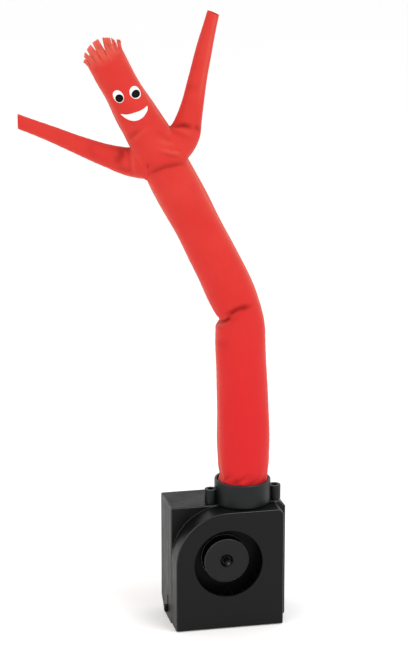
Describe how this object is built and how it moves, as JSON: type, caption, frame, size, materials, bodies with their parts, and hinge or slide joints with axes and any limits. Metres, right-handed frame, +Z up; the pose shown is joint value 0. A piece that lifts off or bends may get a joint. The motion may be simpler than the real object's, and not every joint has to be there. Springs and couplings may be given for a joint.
{
  "type": "inflatable air dancer on fan housing",
  "caption": "Desk-top air dancer: a leaning cloth tube figure with two raised arms and fringed hair, blown up from the outlet collar of a small plastic fan housing.",
  "frame": {"origin": "on the floor, straight below the axis of the outlet collar", "axes": "+Z up; the housing's front with the air inlet faces -Y; +X is to the right seen from the front. The cloth figure is turned 12 degrees about the collar's axis, towards its own right"},
  "size_m": [0.1913, 0.0632, 0.4549],
  "materials": {
    "black_plastic": "glossy black moulding",
    "fan_plastic": "satin black moulding",
    "motor_metal": "satin metal can",
    "shaft_metal": "ground steel",
    "red_cloth": "thin woven nylon, soft sheen"
  },
  "bodies": {
    "housing": {"front_cover": "black_plastic", "body_shell": "black_plastic", "back_cover": "black_plastic", "outlet_collar": "black_plastic", "motor": "motor_metal", "tube_body": "red_cloth", "arm_left": "red_cloth", "arm_right": "red_cloth", "hair_fringe": "red_cloth"},
    "rotor": {"impeller": "fan_plastic", "motor_shaft": "shaft_metal"},
    "switch": {"switch_knob": "fan_plastic"}
  },
  "joints": [
    {"name": "fan_spin", "type": "hinge", "parent": "housing", "child": "rotor", "pos_m": [-0.016, 0, 0.0515], "axis": [0, 1, 0], "continuous": true},
    {"name": "switch_slide", "type": "slide", "parent": "housing", "child": "switch", "axis": [0, 0, 1], "range_m": [0, 0.008]}
  ]
}
